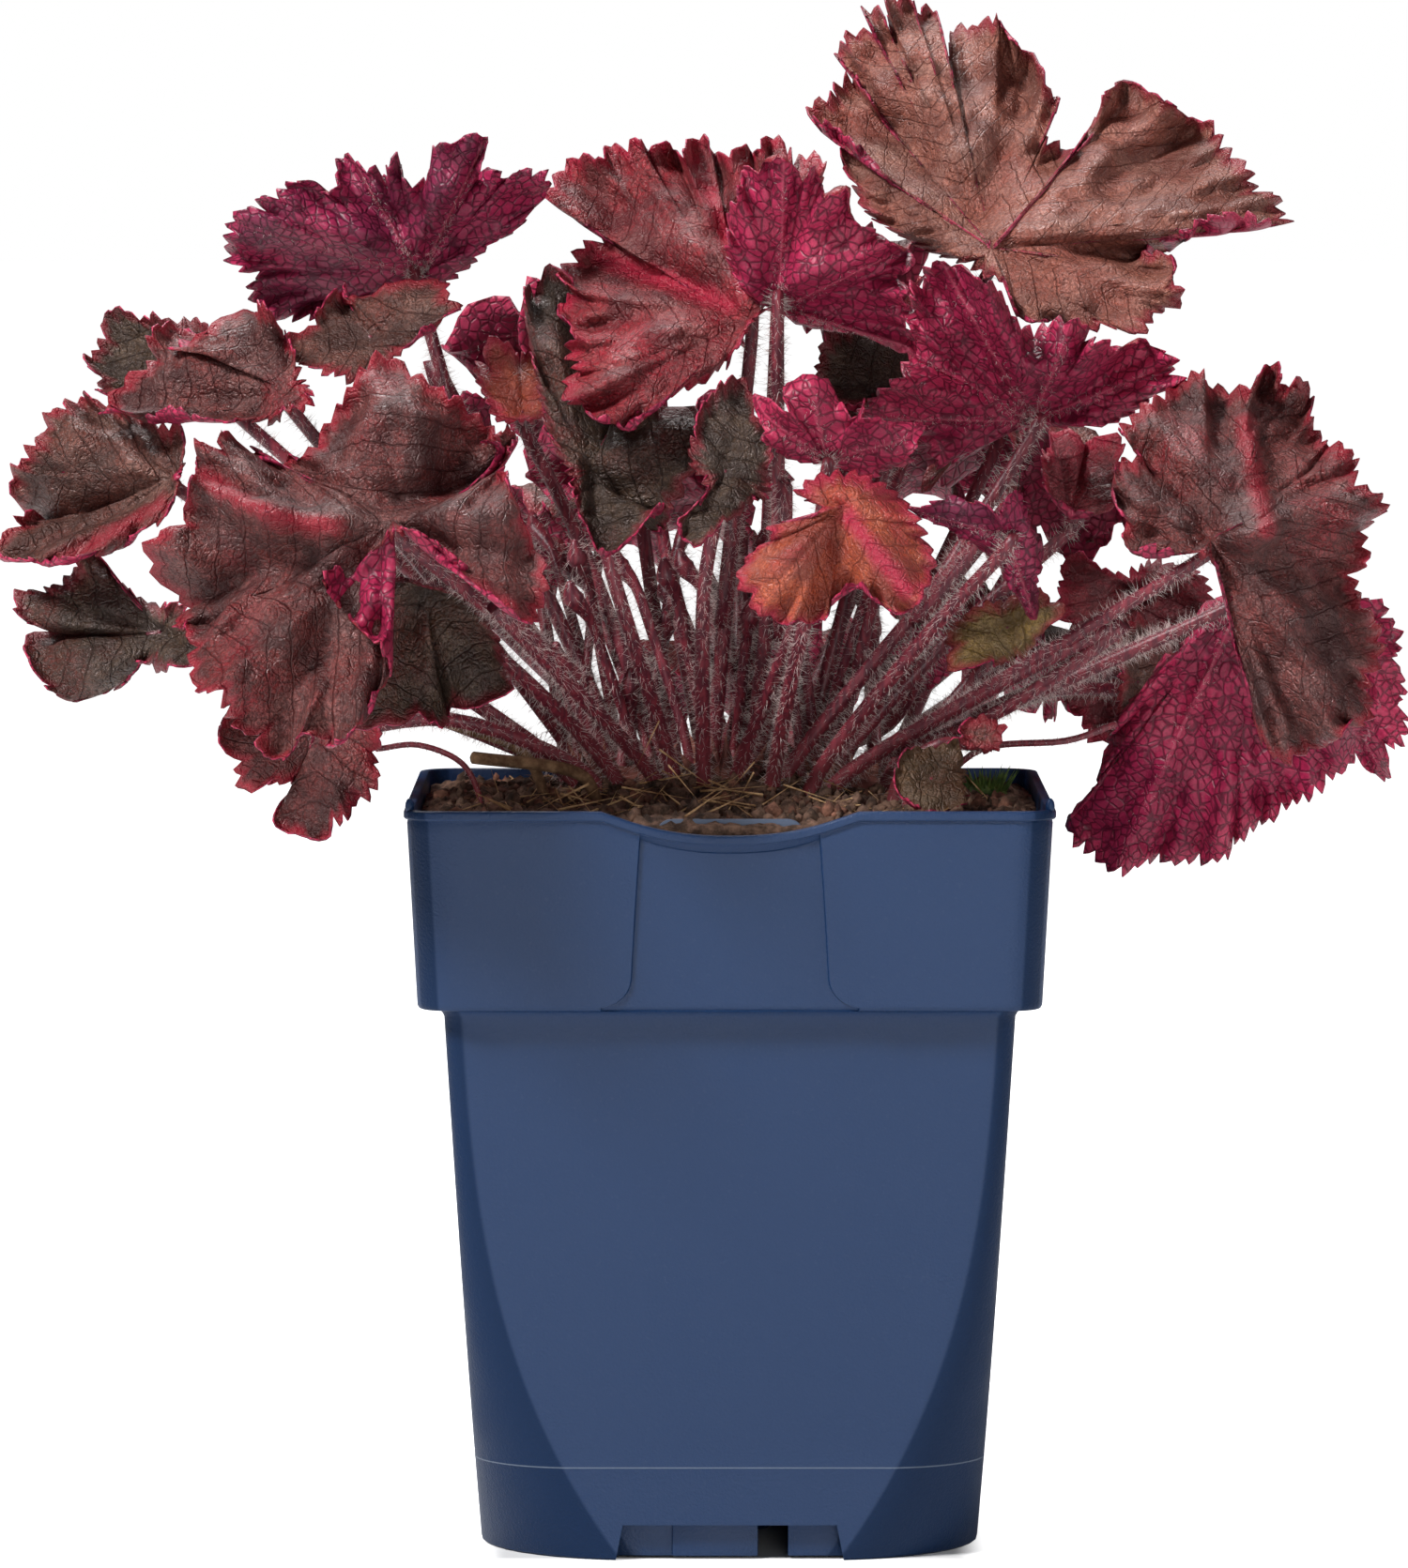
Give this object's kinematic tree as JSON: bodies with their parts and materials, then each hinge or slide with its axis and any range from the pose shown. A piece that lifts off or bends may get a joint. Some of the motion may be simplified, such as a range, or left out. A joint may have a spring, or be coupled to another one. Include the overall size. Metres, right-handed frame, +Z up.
{
  "type": "potted heuchera",
  "caption": "Bushy perennial with ruffled, toothed palmate leaves on hairy stalks, standing in soil in a tall square plastic nursery pot.",
  "frame": {"origin": "middle of the pot's foot, on the surface that the pot stands on", "axes": "+Z up, out of the pot; +X to the right and +Y away, as seen from the side with the dip in the rim"},
  "size_m": [0.332, 0.2484, 0.366],
  "materials": {
    "crown": "reddish woody stump with papery scales, dull",
    "dry_stem": "dry brown stem, dull",
    "grip_plastic": "paler grey-blue moulded plastic, smooth",
    "leaf_bronze": "bronze-maroon leaf, satin above and crimson below, with purple veins and hairs",
    "leaf_brown": "brown leaf with red edges, satin",
    "leaf_dead": "wilted olive-brown leaf, dull",
    "leaf_olive": "dark olive-brown leaf with red edges, satin",
    "leaf_orange": "orange-red leaf, satin",
    "leaf_red": "dark red leaf, satin",
    "leaf_terracotta": "terracotta-brown leaf, satin above and magenta below",
    "leaf_yellow": "olive-yellow leaf with red edges, satin",
    "moss": "short green moss, dull",
    "peat": "dark crumbly peat with straw-coloured fibres, dull",
    "pot_plastic": "dark blue moulded plastic with a fine grain, satin"
  },
  "bodies": {
    "root": {"crown_left": "crown", "crown_middle": "crown", "crown_right": "crown", "grip_plate": "grip_plastic", "leaf_a": "leaf_terracotta", "leaf_b": "leaf_bronze", "leaf_back_1": "leaf_brown", "leaf_back_2": "leaf_olive", "leaf_back_3": "leaf_olive", "leaf_back_4": "leaf_bronze", "leaf_back_5": "leaf_bronze", "leaf_back_6": "leaf_brown", "leaf_back_7": "leaf_olive", "leaf_back_8": "leaf_bronze", "leaf_back_9": "leaf_olive", "leaf_c": "leaf_bronze", "leaf_c2": "leaf_bronze", "leaf_d": "leaf_bronze", "leaf_dead": "leaf_dead", "leaf_e": "leaf_bronze", "leaf_e2": "leaf_bronze", "leaf_f": "leaf_red", "leaf_g": "leaf_bronze", "leaf_h": "leaf_bronze", "leaf_h2": "leaf_olive", "leaf_i": "leaf_brown", "leaf_j": "leaf_olive", "leaf_k": "leaf_red", "leaf_m": "leaf_olive", "leaf_n": "leaf_olive", "leaf_o": "leaf_olive", "leaf_p": "leaf_orange", "leaf_q": "leaf_orange", "leaf_r": "leaf_bronze", "leaf_s": "leaf_yellow", "leaf_s2": "leaf_red", "leaf_t": "leaf_red", "leaf_u": "leaf_brown", "leaf_v": "leaf_orange", "leaf_w": "leaf_olive", "leaf_x": "leaf_red", "leaf_y": "leaf_brown", "leaf_z": "leaf_brown", "low_stem": "dry_stem", "moss_tuft": "moss", "pot": "pot_plastic", "soil": "peat", "stub_stem": "dry_stem", "thin_stalk_left": "dry_stem", "thin_stalk_right": "dry_stem"}
  },
  "joints": []
}
